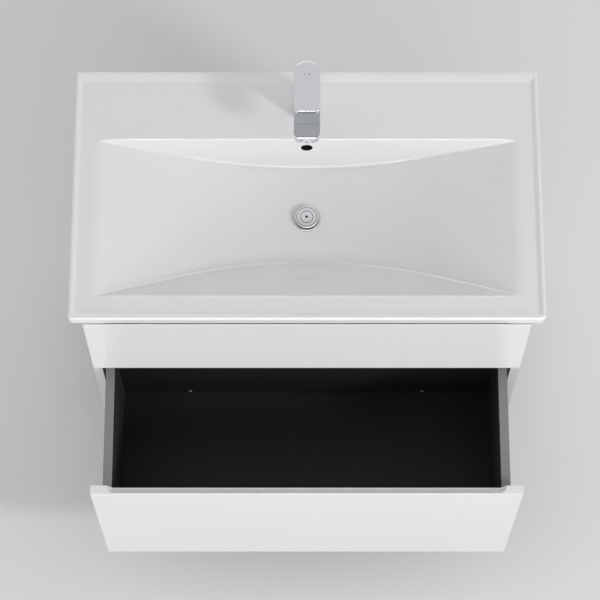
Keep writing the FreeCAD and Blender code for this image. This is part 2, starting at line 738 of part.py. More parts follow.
def make_cabinet():
    floors = [UPPER_FLOOR_TOP - DRAWER_FLOOR, LOWER_FLOOR_TOP - DRAWER_FLOOR]
    places = dowel_places()
    head = SIDE_INNER - RUNNER_SHEET
    out = FreeCAD.Vector(1, 0, 0)
    up = FreeCAD.Vector(0, 0, 1)
    rail_screws = [p for floor in floors for p in rail_screw_places(floor)]
    plate_bottom = LEG_SPACE - PLATE_THICKNESS
    side = block(SIDE_INNER, SIDE_INNER + BOARD, WALL_GAP, CABINET_FRONT, LEG_SPACE, DECK_UNDER)
    side = side.cut([dowel(p, DOWEL_FIT) for group in places.values() for p in group])
    side = side.cut([screw_hole(head, *p, out) for p in rail_screws])
    inside = (-SIDE_INNER, SIDE_INNER)
    bottom_top = LEG_SPACE + BOARD
    bottom = block(*inside, WALL_GAP, CABINET_FRONT - BOTTOM_FRONT_INSET, LEG_SPACE, bottom_top)
    bottom = bottom.cut([screw_hole(*p, plate_bottom, up) for p in plate_screws()])
    back = (WALL_GAP, WALL_GAP + BOARD)
    upper_rail = block(*inside, *back, UPPER_RAIL_TOP - BACK_RAIL_HEIGHT, UPPER_RAIL_TOP)
    wall_hole_height = UPPER_RAIL_TOP - BACK_RAIL_HEIGHT / 2
    for x in (-WALL_HOLE_SPACING / 2, WALL_HOLE_SPACING / 2):
        upper_rail = upper_rail.cut(bar_y(x, 0, WALL_GAP + 2 * BOARD, wall_hole_height, WALL_HOLE_RADIUS))
    rail_back = CABINET_FRONT - MIDDLE_RAIL_DEPTH
    boards = {
        "bottom_panel": bottom,
        "middle_rail": block(*inside, rail_back, CABINET_FRONT, MIDDLE_RAIL_TOP - BOARD, MIDDLE_RAIL_TOP),
        "upper_back_rail": upper_rail,
        "lower_back_rail": block(*inside, *back, bottom_top, bottom_top + BACK_RAIL_HEIGHT),
    }
    nodes = {name: board.cut(dowel_holes(places[name])) for name, board in boards.items()}
    dowels = [dowel(p, 0) for group in places.values() for p in group]
    nodes["side_panel_right"] = side
    nodes["side_panel_left"] = mirrored(side)
    nodes["carcass_dowels"] = Part.makeCompound(dowels + [mirrored(d) for d in dowels])
    nodes["runner_screws"] = both_sides(Part.makeCompound([screw(head, *p, out) for p in rail_screws]))
    nodes["front_bumpers"] = both_sides(Part.makeCompound(bumpers()))
    return nodes


def bumpers():
    """Right-hand soft stops on the front edge of a side panel, two behind each front."""
    heights = []
    for low, high in ((LOWER_FRONT_BOTTOM, LOWER_FRONT_TOP), (UPPER_FRONT_BOTTOM, UPPER_FRONT_TOP)):
        heights += [low + BUMPER_FROM_EDGE, high - PULL_DEPTH - BUMPER_FROM_EDGE]
    x = SIDE_INNER + BOARD / 2
    return [bar_y(x, CABINET_FRONT, CABINET_FRONT + BUMPER_THICKNESS, z, BUMPER_RADIUS) for z in heights]


def make_legs():
    nodes = {}
    plates = []
    pads = []
    plate_bottom = LEG_SPACE - PLATE_THICKNESS
    half = PLATE_SIZE / 2
    profile = [
        (0, PAD_THICKNESS),
        (LEG_FOOT_RADIUS, PAD_THICKNESS),
        (LEG_TOP_RADIUS, plate_bottom - LEG_COLLAR),
        (LEG_TOP_RADIUS, plate_bottom),
        (LEG_SPIGOT_RADIUS, plate_bottom),
        (LEG_SPIGOT_RADIUS, LEG_SPACE),
        (0, LEG_SPACE),
    ]
    pad_profile = [
        (0, 0),
        (LEG_FOOT_RADIUS, 0),
        (LEG_FOOT_RADIUS, PAD_THICKNESS),
        (PAD_STEM_RADIUS, PAD_THICKNESS),
        (PAD_STEM_RADIUS, PAD_THICKNESS + PAD_STEM),
        (0, PAD_THICKNESS + PAD_STEM),
    ]
    for place, (x, distance) in leg_places().items():
        leg = turned(profile, no_rounding(profile), x, distance)
        leg = leg.cut(disc(x, distance, PAD_THICKNESS, PAD_THICKNESS + PAD_STEM, PAD_STEM_RADIUS))
        nodes["leg_" + place + "_right"] = leg
        nodes["leg_" + place + "_left"] = mirrored(leg)
        outline = [(x - half, distance - half), (x + half, distance - half)]
        outline += [(x + half, distance + half), (x - half, distance + half)]
        plate = upright(outline, [PLATE_CORNER] * 4, plate_bottom, LEG_SPACE)
        plate = plate.cut(disc(x, distance, plate_bottom, LEG_SPACE, LEG_SPIGOT_RADIUS))
        plates += [plate, mirrored(plate)]
        pad = turned(pad_profile, [0, PAD_EDGE, 0, 0, 0, 0], x, distance)
        pads += [pad, mirrored(pad)]
    up = FreeCAD.Vector(0, 0, 1)
    holes = [screw_hole(*p, plate_bottom, up) for p in plate_screws()]
    nodes["leg_plates"] = Part.makeCompound([plate.cut(holes) for plate in plates])
    nodes["leg_pads"] = Part.makeCompound(pads)
    nodes["leg_screws"] = Part.makeCompound([screw(*p, plate_bottom, up) for p in plate_screws()])
    return nodes


# Drawers and runners

def make_runner(floor_under):
    """Right-hand runner under a closed drawer: cabinet rail, middle member, drawer member and rollers."""
    half_sheet = RUNNER_SHEET / 2
    base = floor_under - RUNNER_HEIGHT
    inner = BOX_INNER - RUNNER_WIDTH
    front = CABINET_FRONT - RUNNER_INSET
    back = front - RUNNER_LENGTH
    roller_space = 2 * (ROLLER_RADIUS + ROLLER_GAP)
    rail_path = [
        (SIDE_INNER - half_sheet, base + RAIL_FLANGE),
        (SIDE_INNER - half_sheet, base + half_sheet),
        (inner + half_sheet, base + half_sheet),
        (inner + half_sheet, base + RAIL_LIP),
    ]
    middle_low = base + RUNNER_SHEET + roller_space + half_sheet
    middle_high = middle_low + MIDDLE_WALL
    left = inner + MIDDLE_INSET
    right = BOX_INNER - MIDDLE_INSET
    middle_path = [
        (left + MIDDLE_LIP, middle_high),
        (left, middle_high),
        (left, middle_low),
        (right, middle_low),
        (right, middle_high),
        (right - MIDDLE_LIP, middle_high),
    ]
    slide_low = middle_low + RUNNER_SHEET + roller_space
    web = (left + right) / 2
    slide_path = [
        (web - SLIDE_LOWER_FLANGE, slide_low),
        (web, slide_low),
        (web, floor_under - half_sheet),
        (web - SLIDE_UPPER_FLANGE, floor_under - half_sheet),
    ]
    rail = along(strip(rail_path, RUNNER_SHEET), back, front)
    out = FreeCAD.Vector(1, 0, 0)
    head = SIDE_INNER - RUNNER_SHEET
    rail = rail.cut([screw_hole(head, *p, out) for p in rail_screw_places(floor_under)])
    start = web - SLIDE_LOWER_FLANGE
    low = middle_low - half_sheet - roller_space / 2
    high = middle_low + half_sheet + roller_space / 2
    rollers = []
    for step in (ROLLER_FROM_END, ROLLER_FROM_END + ROLLER_SPACING):
        rollers.append(bar_x(start, start + ROLLER_LENGTH, back + step, low, ROLLER_RADIUS))
        rollers.append(bar_x(start, start + ROLLER_LENGTH, front - step, high, ROLLER_RADIUS))
    return {
        "rails": both_sides(rail),
        "middles": both_sides(along(strip(middle_path, RUNNER_SHEET), back, front)),
        "slides": both_sides(along(strip(slide_path, RUNNER_SHEET), back, front)),
        "rollers": both_sides(Part.makeCompound(rollers)),
    }


def drawer_front(low, high):
    """Front panel with the finger pull that a cone-shaped cutter leaves along its top back edge."""
    half = CABINET_WIDTH / 2 - FRONT_SIDE_INSET
    face = y_at(FRONT_FACE)
    panel = block(-half, half, FRONT_BACK, FRONT_FACE, low, high)
    ends = [e for e in edges_in_plane(panel, "Y", face) if e.BoundBox.ZLength > FRONT_SIDE_EDGE]
    panel = panel.makeFillet(FRONT_SIDE_EDGE, ends)
    lines = [e for e in edges_in_plane(panel, "Y", face) if e.BoundBox.ZLength < FRONT_SIDE_EDGE]
    panel = panel.makeFillet(FRONT_EDGE, lines)
    top_radius = FRONT_THICKNESS - PULL_NOSE
    slope = (top_radius - PULL_LEDGE) / PULL_DEPTH
    wide = top_radius + slope * CUTTER_RISE
    floor = high - PULL_DEPTH
    end = half - PULL_END
    profile = [
        (FRONT_BACK - wide, floor),
        (FRONT_BACK + PULL_LEDGE, floor),
        (FRONT_BACK + wide, high + CUTTER_RISE),
        (FRONT_BACK - wide, high + CUTTER_RISE),
    ]
    cutters = [across(profile, no_rounding(profile), -end, end)]
    for x in (-end, end):
        place = FreeCAD.Vector(x, y_at(FRONT_BACK), floor)
        cutters.append(Part.makeCone(PULL_LEDGE, wide, PULL_DEPTH + CUTTER_RISE, place))
    return panel.cut(cutters)


def front_angles(floor_top):
    """Right-hand angle that ties a front to its drawer side, and its two screws as (place, direction)."""
    sheet = ANGLE_SHEET / 2
    path = [
        (BOX_INNER - ANGLE_LEG, FRONT_BACK - sheet),
        (BOX_INNER - sheet, FRONT_BACK - sheet),
        (BOX_INNER - sheet, FRONT_BACK - ANGLE_LEG),
    ]
    outline = strip(path, ANGLE_SHEET)
    angle = upright(outline, no_rounding(outline), floor_top, floor_top + ANGLE_HEIGHT)
    height = floor_top + ANGLE_HEIGHT / 2
    screws = [
        ((BOX_INNER - ANGLE_SCREW_REACH, FRONT_BACK - ANGLE_SHEET, height), FreeCAD.Vector(0, -1, 0)),
        ((BOX_INNER - ANGLE_SHEET, FRONT_BACK - ANGLE_SCREW_REACH, height), FreeCAD.Vector(1, 0, 0)),
    ]
    return angle, screws


def make_drawer(front_low, front_high, floor_top, side_top):
    """Closed drawer without its back: front, sides, bottom and fittings, with holes for their screws."""
    floor_under = floor_top - DRAWER_FLOOR
    angle, places = front_angles(floor_top)
    back_face = BOX_BACK + BOARD
    places.append(((BACK_SCREW_X, back_face, floor_top + BACK_SCREW_RISE), FreeCAD.Vector(0, 1, 0)))
    screws = [screw(*place, way) for place, way in places]
    holes = [screw_hole(*place, way) for place, way in places]
    angle = angle.cut(holes)
    side_low = floor_under - SIDE_BELOW_FLOOR
    side = block(BOX_INNER, BOX_HALF, BOX_BACK, FRONT_BACK, side_low, side_top).cut(holes)
    return {
        "front": drawer_front(front_low, front_high).cut(holes + [mirrored(h) for h in holes]),
        "side_right": side,
        "side_left": mirrored(side),
        "bottom": block(-BOX_INNER, BOX_INNER, back_face, FRONT_BACK, floor_under, floor_top),
        "fittings": both_sides(Part.makeCompound([angle] + screws)),
        "holes": both_sides(Part.makeCompound(holes)),
    }


def make_lower_drawer():
    floor_under = LOWER_FLOOR_TOP - DRAWER_FLOOR
    drawer = make_drawer(LOWER_FRONT_BOTTOM, LOWER_FRONT_TOP, LOWER_FLOOR_TOP, LOWER_SIDE_TOP)
    back = block(-BOX_INNER, BOX_INNER, BOX_BACK, BOX_BACK + BOARD, floor_under, LOWER_SIDE_TOP)
    drawer["back"] = back.cut(drawer.pop("holes").Solids)
    runner = make_runner(floor_under)
    nodes = {"lower_drawer_" + name: moved(shape, DRAWER_OPENING) for name, shape in drawer.items()}
    nodes["lower_runner_slides"] = moved(runner["slides"], DRAWER_OPENING)
    for name in ("middles", "rollers"):
        nodes["lower_runner_" + name] = moved(runner[name], DRAWER_OPENING / 2)
    nodes["lower_runner_rails"] = runner["rails"]
    return nodes


def make_upper_drawer():
    """Upper drawer, with a recess open to the back that the trap stands in."""
    floor_under = UPPER_FLOOR_TOP - DRAWER_FLOOR
    drawer = make_drawer(UPPER_FRONT_BOTTOM, UPPER_FRONT_TOP, UPPER_FLOOR_TOP, UPPER_SIDE_TOP)
    holes = drawer.pop("holes").Solids
    recess_front = WASTE_FROM_WALL + RECESS_AHEAD
    inner = RECESS_HALF_WIDTH
    outer = inner + BOARD
    back_face = BOX_BACK + BOARD
    recess = block(-inner, inner, BOX_BACK, recess_front, floor_under, UPPER_FLOOR_TOP)
    drawer["bottom"] = drawer["bottom"].cut(recess)
    back = block(inner, BOX_INNER, BOX_BACK, back_face, floor_under, UPPER_SIDE_TOP).cut(holes)
    wall = (UPPER_FLOOR_TOP, UPPER_SIDE_TOP)
    cheek = block(inner, outer, back_face, recess_front, *wall)
    drawer["backs"] = both_sides(back)
    drawer["recess_sides"] = both_sides(cheek)
    drawer["recess_front"] = block(-outer, outer, recess_front, recess_front + BOARD, *wall)
    nodes = {"upper_drawer_" + name: shape for name, shape in drawer.items()}
    for name, shape in make_runner(floor_under).items():
        nodes["upper_runner_" + name] = shape
    return nodes


# Waste and trap

def make_waste():
    seat = BOWL_FLOOR - WASTE_SEAT_DROP
    flange_top = seat + FLANGE_THICKNESS
    thread_end = BOSS_BOTTOM - WASTE_THREAD_BELOW
    tail_end = thread_end - TAIL_LENGTH
    tail_bore = TAIL_RADIUS - TAIL_WALL
    profile = [
        (FLANGE_MOUTH_RADIUS, flange_top),
        (FLANGE_RADIUS, flange_top),
        (FLANGE_RADIUS, seat),
        (WASTE_THREAD_RADIUS, seat),
        (WASTE_THREAD_RADIUS, thread_end),
        (TAIL_RADIUS, thread_end),
        (TAIL_RADIUS, tail_end),
        (tail_bore, tail_end),
        (tail_bore, thread_end + TAIL_STEP),
        (WASTE_BORE_RADIUS, thread_end + 2 * TAIL_STEP),
        (WASTE_BORE_RADIUS, seat - FLANGE_THICKNESS),
    ]
    rounding = no_rounding(profile)
    rounding[1] = FLANGE_THICKNESS / 2
    body = turned(profile, rounding, 0, WASTE_FROM_WALL)
    slot = (BOWL_UNDER - DUCT_HEIGHT, BOWL_UNDER)
    slot_back = WASTE_FROM_WALL - FLANGE_RADIUS
    slot_cut = block(-OVERFLOW_SLOT_HALF, OVERFLOW_SLOT_HALF, slot_back, WASTE_FROM_WALL, *slot)
    body = body.cut(slot_cut.cut(disc(0, WASTE_FROM_WALL, *slot, WASTE_BORE_RADIUS)))
    spider_top = seat - SPIDER_DROP
    spider = (spider_top - SPIDER_HEIGHT, spider_top)
    reach = WASTE_BORE_RADIUS + TAIL_WALL
    arm = (WASTE_FROM_WALL - SPIDER_HALF_WIDTH, WASTE_FROM_WALL + SPIDER_HALF_WIDTH)
    arms = block(-reach, reach, *arm, *spider)
    sleeve = disc(0, WASTE_FROM_WALL, *spider, SLEEVE_RADIUS)
    bore = disc(0, WASTE_FROM_WALL, *spider, STEM_RADIUS + STEM_FIT)
    body = body.fuse([arms, sleeve]).cut(bore)
    seal_low = BOSS_BOTTOM - SEAL_THICKNESS
    nut_low = seal_low - WASTE_NUT_HEIGHT
    inner = WASTE_THREAD_RADIUS + SLIP_FIT
    seal = disc(0, WASTE_FROM_WALL, seal_low, BOSS_BOTTOM, SEAL_RADIUS)
    nut = hexagon(0, WASTE_FROM_WALL, nut_low, seal_low, 2 * WASTE_NUT_RADIUS)
    thread = disc(0, WASTE_FROM_WALL, nut_low, BOSS_BOTTOM, inner)
    plug_low = flange_top + PLUG_LIFT
    plug_top = plug_low + PLUG_EDGE + PLUG_DOME
    dome = (PLUG_RADIUS ** 2 + PLUG_DOME ** 2) / (2 * PLUG_DOME)
    ball = Part.makeSphere(dome, FreeCAD.Vector(0, y_at(WASTE_FROM_WALL), plug_top - dome))
    plug = disc(0, WASTE_FROM_WALL, plug_low, plug_top, PLUG_RADIUS).common(ball)
    rim = [e for e in plug.Edges if abs(e.BoundBox.ZMin - plug_low - PLUG_EDGE) < 1e-3]
    plug = plug.makeFillet(PLUG_ROUND, [e for e in rim if abs(e.BoundBox.ZLength) < 1e-3])
    plug = plug.fuse(disc(0, WASTE_FROM_WALL, spider[0] + PLUG_TRAVEL, plug_low, STEM_RADIUS))
    crown = plug_top - dome + math.sqrt(dome ** 2 - PLUG_RING_RADIUS ** 2)
    groove = (crown - PLUG_RING_DEPTH, plug_top)
    ring = disc(0, WASTE_FROM_WALL, *groove, PLUG_RING_RADIUS + PLUG_RING_WIDTH / 2)
    ring = ring.cut(disc(0, WASTE_FROM_WALL, *groove, PLUG_RING_RADIUS - PLUG_RING_WIDTH / 2))
    dimple = disc(0, WASTE_FROM_WALL, plug_top - PLUG_DIMPLE_DEPTH, plug_top, PLUG_DIMPLE_RADIUS)
    plug = plug.cut([ring, dimple])
    return {
        "waste_body": body,
        "waste_seal": seal.cut(thread),
        "waste_nut": nut.cut(thread),
        "waste_plug": plug,
    }


def hexagon(x, distance, z0, z1, across_flats):
    """Upright six-sided nut blank."""
    corner = across_flats / math.sqrt(3)
    turns = [math.radians(60 * i) for i in range(6)]
    outline = [(x + corner * math.cos(t), distance + corner * math.sin(t)) for t in turns]
    return upright(outline, no_rounding(outline), z0, z1)


def make_trap():
    thread_end = BOSS_BOTTOM - WASTE_THREAD_BELOW
    neck_top = thread_end - TRAP_TOP_BELOW_SLEEVE
    shoulder = neck_top - TRAP_NECK_HEIGHT
    low = neck_top - TRAP_BODY_HEIGHT
    sleeve = TAIL_RADIUS + SLIP_FIT
    inner = TRAP_RADIUS - TRAP_WALL
    body_profile = [
        (sleeve, neck_top),
        (TRAP_NECK_RADIUS, neck_top),
        (TRAP_NECK_RADIUS, shoulder),
        (TRAP_RADIUS, shoulder),
        (TRAP_RADIUS, low),
        (inner, low),
        (inner, shoulder - TRAP_WALL),
        (sleeve, shoulder - TRAP_WALL),
    ]
    body = turned(body_profile, [0, 0, TRAP_WALL, TRAP_ROUND, 0, 0, TRAP_WALL, 0], 0, WASTE_FROM_WALL)
    outlet = shoulder - OUTLET_DROP
    socket_end = WASTE_FROM_WALL - TRAP_RADIUS - OUTLET_SOCKET_LENGTH
    socket = bar_y(0, socket_end, WASTE_FROM_WALL - inner - TRAP_WALL / 2, outlet, OUTLET_SOCKET_RADIUS)
    tube_end = WASTE_FROM_WALL - TRAP_RADIUS - TRAP_WALL
    seat = OUTLET_SEAT_RADIUS + SLIP_FIT
    socket_bore = bar_y(0, socket_end, tube_end, outlet, seat)
    tail_bore = TAIL_RADIUS - TAIL_WALL
    water_way = bar_y(0, socket_end, WASTE_FROM_WALL, outlet, tail_bore)
    core = disc(0, WASTE_FROM_WALL, low, shoulder - TRAP_WALL, inner)
    body = body.fuse(socket.cut(core)).cut([socket_bore, water_way])
    nut_low = neck_top - TRAP_NUT_HEIGHT / 2
    nut = disc(0, WASTE_FROM_WALL, nut_low, neck_top + TRAP_NUT_HEIGHT / 2, TRAP_NUT_RADIUS)
    nut = nut.cut(disc(0, WASTE_FROM_WALL, nut_low, neck_top, TRAP_NECK_RADIUS + SLIP_FIT))
    nut = nut.cut(disc(0, WASTE_FROM_WALL, neck_top, neck_top + TRAP_NUT_HEIGHT, sleeve))
    cup_bore = TRAP_RADIUS + SLIP_FIT
    cup_low = low + CUP_OVERLAP - CUP_HEIGHT
    cup_profile = [
        (0, cup_low),
        (CUP_RADIUS, cup_low),
        (CUP_RADIUS, low + CUP_OVERLAP),
        (cup_bore, low + CUP_OVERLAP),
        (cup_bore, low),
        (inner, low),
        (inner, cup_low + TRAP_WALL),
        (0, cup_low + TRAP_WALL),
    ]
    cup = turned(cup_profile, [0, TRAP_ROUND, 0, 0, 0, 0, TRAP_WALL, 0], 0, WASTE_FROM_WALL)
    flutes = []
    for i in range(CUP_FLUTES):
        turn = 2 * math.pi * i / CUP_FLUTES
        x = (CUP_RADIUS + CUP_FLUTE_RADIUS / 2) * math.cos(turn)
        distance = WASTE_FROM_WALL + (CUP_RADIUS + CUP_FLUTE_RADIUS / 2) * math.sin(turn)
        flutes.append(disc(x, distance, cup_low, low + CUP_OVERLAP, CUP_FLUTE_RADIUS))
    nut_end = socket_end - OUTLET_NUT_LENGTH / 2
    outlet_nut = bar_y(0, nut_end, socket_end + OUTLET_NUT_LENGTH / 2, outlet, OUTLET_NUT_RADIUS)
    nut_bore = OUTLET_SOCKET_RADIUS + SLIP_FIT
    outlet_nut = outlet_nut.cut(bar_y(0, socket_end, socket_end + OUTLET_NUT_LENGTH, outlet, nut_bore))
    outlet_nut = outlet_nut.cut(bar_y(0, nut_end, socket_end, outlet, seat))
    step = nut_end - OUTLET_STEP_GAP
    tube = bar_y(0, 0, step, outlet, TAIL_RADIUS).fuse(bar_y(0, step, tube_end, outlet, OUTLET_SEAT_RADIUS))
    tube = tube.cut(bar_y(0, 0, tube_end, outlet, tail_bore))
    return {
        "trap_body": body,
        "trap_inlet_nut": nut,
        "trap_cup": cup.cut(flutes),
        "trap_outlet_nut": outlet_nut,
        "trap_outlet_tube": tube,
    }


# Mixer

def stadium(reach, corner, z0, z1):
    """Upright prism, round about the mixer's axis at the back and squared off at this reach in front."""
    back = MIXER_FROM_WALL - MIXER_RADIUS
    front = MIXER_FROM_WALL + reach
    outline = [(-MIXER_RADIUS, front), (-MIXER_RADIUS, back), (MIXER_RADIUS, back), (MIXER_RADIUS, front)]
    return upright(outline, [corner, MIXER_RADIUS, MIXER_RADIUS, corner], z0, z1)


def make_mixer():
    axis = MIXER_FROM_WALL
    under = MIXER_BASE + SPOUT_UNDER
    profile = [
        (axis - MIXER_WIDTH, MIXER_BASE),
        (axis + MIXER_RADIUS, MIXER_BASE),
        (axis + MIXER_RADIUS, under),
        (axis + SPOUT_REACH, under),
        (axis + SPOUT_REACH, under + SPOUT_TIP),
        (axis + SPOUT_SHOULDER, MIXER_TOP),
        (axis - MIXER_WIDTH, MIXER_TOP),
    ]
    rounding = [0, 0, SPOUT_THROAT, SPOUT_EDGE, SPOUT_NOSE, MIXER_WIDTH, 0]
    side = across(profile, rounding, -MIXER_WIDTH, MIXER_WIDTH)
    body = stadium(SPOUT_REACH, SPOUT_CORNER, MIXER_BASE, MIXER_TOP).common(side)
    cavity_low = MIXER_TOP - CARTRIDGE_NUT_HEIGHT - CARTRIDGE_HEIGHT
    nut_low = MIXER_TOP - CARTRIDGE_NUT_HEIGHT
    aerator_axis = axis + SPOUT_REACH - AERATOR_FROM_TIP
    aerator_top = under + AERATOR_DEPTH
    stud_axis = axis + STUD_AHEAD
    inlet_axis = axis - INLET_BEHIND
    cuts = [
        disc(0, axis, cavity_low, MIXER_TOP, CARTRIDGE_RADIUS + CARTRIDGE_FIT),
        disc(0, aerator_axis, under - CUTTER_RISE, aerator_top, AERATOR_RADIUS + SLIP_FIT),
        disc(0, stud_axis, MIXER_BASE, MIXER_BASE + STUD_IN_BODY, STUD_RADIUS),
    ]
    for x in (-INLET_HALF_SPACING, INLET_HALF_SPACING):
        cuts.append(disc(x, inlet_axis, MIXER_BASE, MIXER_BASE + INLET_DEPTH, INLET_RADIUS))
    gasket_radius = MIXER_RADIUS - MIXER_GASKET_INSET
    gasket = disc(0, axis, DECK_TOP, MIXER_BASE, gasket_radius)
    gasket = gasket.cut(disc(0, axis, DECK_TOP, MIXER_BASE, DECK_HOLE_RADIUS))
    aerator_low = under - AERATOR_PROUD
    aerator = disc(0, aerator_axis, aerator_low, aerator_top, AERATOR_RADIUS)
    bore_top = aerator_low + AERATOR_BORE
    aerator = aerator.cut(disc(0, aerator_axis, aerator_low, bore_top, AERATOR_BORE_RADIUS))
    clamp_low = DECK_UNDER - CLAMP_THICKNESS
    clamp = disc(0, axis, clamp_low, DECK_UNDER, CLAMP_RADIUS)
    notch_front = stud_axis - STUD_RADIUS - CLAMP_NOTCH_EDGE
    notch_back = axis - 2 * CLAMP_RADIUS
    notch = block(-CLAMP_NOTCH_HALF, CLAMP_NOTCH_HALF, notch_back, notch_front, clamp_low, DECK_UNDER)
    stud_hole = disc(0, stud_axis, clamp_low - STUD_NUT_HEIGHT, DECK_UNDER, STUD_RADIUS + SLIP_FIT)
    nut = hexagon(0, stud_axis, clamp_low - STUD_NUT_HEIGHT, clamp_low, STUD_NUT_FLATS)
    cartridge_nut = disc(0, axis, nut_low, MIXER_TOP, CARTRIDGE_RADIUS)
    stud_low = DECK_UNDER - STUD_BELOW_DECK
    return {
        "mixer_body": body.cut(cuts),
        "mixer_gasket": gasket,
        "mixer_aerator": aerator,
        "mixer_stud": disc(0, stud_axis, stud_low, MIXER_BASE + STUD_IN_BODY, STUD_RADIUS),
        "mixer_clamp": clamp.cut([notch, stud_hole]),
        "mixer_nut": nut.cut(stud_hole),
        "cartridge": disc(0, axis, cavity_low, nut_low, CARTRIDGE_RADIUS),
        "cartridge_nut": cartridge_nut.cut(disc(0, axis, nut_low, MIXER_TOP, CARTRIDGE_NUT_BORE)),
    }


def make_lever():
    """Turning carrier, and the lever that lifts on a pin in it."""
    axis = MIXER_FROM_WALL
    plate_under = LEVER_TOP - LEVER_PLATE
    rear = MIXER_WIDTH
    heel = LEVER_BOTTOM + rear * math.tan(math.radians(LEVER_HEEL_ANGLE))
    profile = [
        (axis - rear, heel),
        (axis, LEVER_BOTTOM),
        (axis + LEVER_HUB, LEVER_BOTTOM),
        (axis + LEVER_HUB, plate_under),
        (axis + LEVER_REACH + rear, plate_under),
        (axis + LEVER_REACH + rear, LEVER_TOP),
        (axis - rear, LEVER_TOP),
    ]
    side = across(profile, [0, 0, LEVER_EDGE, LEVER_THROAT, 0, 0, 0], -MIXER_WIDTH, MIXER_WIDTH)
    lever = stadium(LEVER_REACH, LEVER_CORNER, LEVER_BOTTOM, LEVER_TOP)
    lever = lever.makeFillet(LEVER_EDGE, edges_in_plane(lever, "Z", LEVER_TOP)).common(side)
    cavity_top = LEVER_BOTTOM + LEVER_CAVITY_DEPTH
    socket_top = cavity_top + LEVER_SOCKET_DEPTH
    half = STEM_SIZE / 2
    stem_low = LIFT_AXIS - STEM_BELOW_AXIS
    stem = block(-half, half, axis - half, axis + half, stem_low, socket_top)
    cavity = disc(0, axis, LEVER_BOTTOM - CUTTER_RISE, cavity_top, LEVER_CAVITY_RADIUS)
    carrier_low = MIXER_TOP - CARTRIDGE_NUT_HEIGHT + CARRIER_GAP
    carrier = disc(0, axis, carrier_low, MIXER_TOP + CARRIER_RISE, CARRIER_RADIUS)
    slot = half + STEM_SLOT_FIT
    slot_floor = carrier_low + CARRIER_BASE
    ends = (axis - MIXER_RADIUS, axis + MIXER_RADIUS)
    carrier = carrier.cut(block(-slot, slot, *ends, slot_floor, LEVER_TOP))
    pin_half = CARRIER_RADIUS - PIN_RADIUS
    carrier = carrier.cut(bar_x(-CARRIER_RADIUS, CARRIER_RADIUS, axis, LIFT_AXIS, PIN_RADIUS + PIN_FIT))
    return {
        "lever": lever.cut([cavity, stem]),
        "lever_stem": stem.fuse(bar_x(-pin_half, pin_half, axis, LIFT_AXIS, PIN_RADIUS)),
        "mixer_carrier": carrier,
    }


def main():
    nodes = {"basin": make_basin()}
    for make in (make_cabinet, make_legs, make_lower_drawer, make_upper_drawer, make_waste, make_trap):
        nodes.update(make())
    nodes.update(make_mixer())
    nodes.update(make_lever())
    os.makedirs("parts", exist_ok=True)
    for name, shape in nodes.items():
        shape.exportStep("parts/" + name + ".step")
        print(name, len(shape.Solids), "solids, valid", shape.isValid())


main()
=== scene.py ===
import bpy
import json
import math
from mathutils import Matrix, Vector


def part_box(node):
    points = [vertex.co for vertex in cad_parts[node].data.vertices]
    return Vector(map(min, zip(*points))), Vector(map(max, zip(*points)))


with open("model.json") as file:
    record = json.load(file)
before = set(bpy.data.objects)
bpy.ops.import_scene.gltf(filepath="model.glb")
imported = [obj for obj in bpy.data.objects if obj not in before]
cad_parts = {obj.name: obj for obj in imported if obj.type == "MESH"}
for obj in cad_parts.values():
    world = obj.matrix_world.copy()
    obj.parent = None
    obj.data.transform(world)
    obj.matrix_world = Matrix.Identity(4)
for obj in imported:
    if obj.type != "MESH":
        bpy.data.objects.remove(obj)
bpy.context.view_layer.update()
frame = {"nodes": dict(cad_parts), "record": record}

# Lengths are in metres, places are in the object's own frame, and colours are linear.

# Camera of the photograph
CAMERA_PLACE = (-0.0116, -1.419, 4.550)
CAMERA_TILT = 19.9
CAMERA_LENS = 141.24
SENSOR = 36.0

# Floor: the colour that is seen, and the finish that throws light back on the object
FLOOR_SIZE = 14.0
FLOOR_COLOUR = (0.80, 0.80, 0.81)
FLOOR_FINISH = dict(
    dark=(0.13, 0.13, 0.132), light=(0.1326, 0.1326, 0.13464), rough=(0.5, 0.6),
    cloud=0.8, grain=200.0, height=0.0,
)

# Sky: its light, with its strength at the front and at the rear
SKY_LIGHT = (0.962, 0.958, 0.978)
SKY_STRENGTH = (0.53, 0.71)
SKY_ENDS = (-1.0, 1.0)

# Backdrop that is seen, greyer overhead, and where the grey fades out towards the rear and the horizon
BACKGROUND = (0.66, 0.665, 0.675)
OVERHEAD = (0.36, 0.365, 0.375)
REAR_EDGE = (0.12, 0.40)
HORIZON_EDGE = (0.75, 0.45)

SOFT_BOXES = (
    # name, place, aim, width, height, watts, whether it lights dull faces, whether shiny faces show it
    ("key_box", (4.12, -2.86, 3.48), (0.0, 0.25, 0.85), 0.77, 0.77, 102.0, True, True),
    ("front_strip", (0.0, -3.1, 2.9), (0.0, 0.1, 0.85), 3.0, 0.9, 115.0, False, True),
    ("back_strip", (0.0, 3.2, 2.6), (0.0, 0.1, 0.85), 3.0, 1.5, 42.0, False, True),
    ("high_fill", (0.3, -7.0, 4.0), (0.0, -0.1, 0.7), 4.2, 1.6, 66.0, True, False),
    ("front_fill", (0.3, -8.0, 2.2), (0.0, -0.2, 0.5), 4.8, 3.2, 120.0, True, False),
    ("low_fill", (-3.0, -5.4, 0.55), (0.0, -0.2, 0.55), 3.6, 0.9, 84.0, True, False),
)

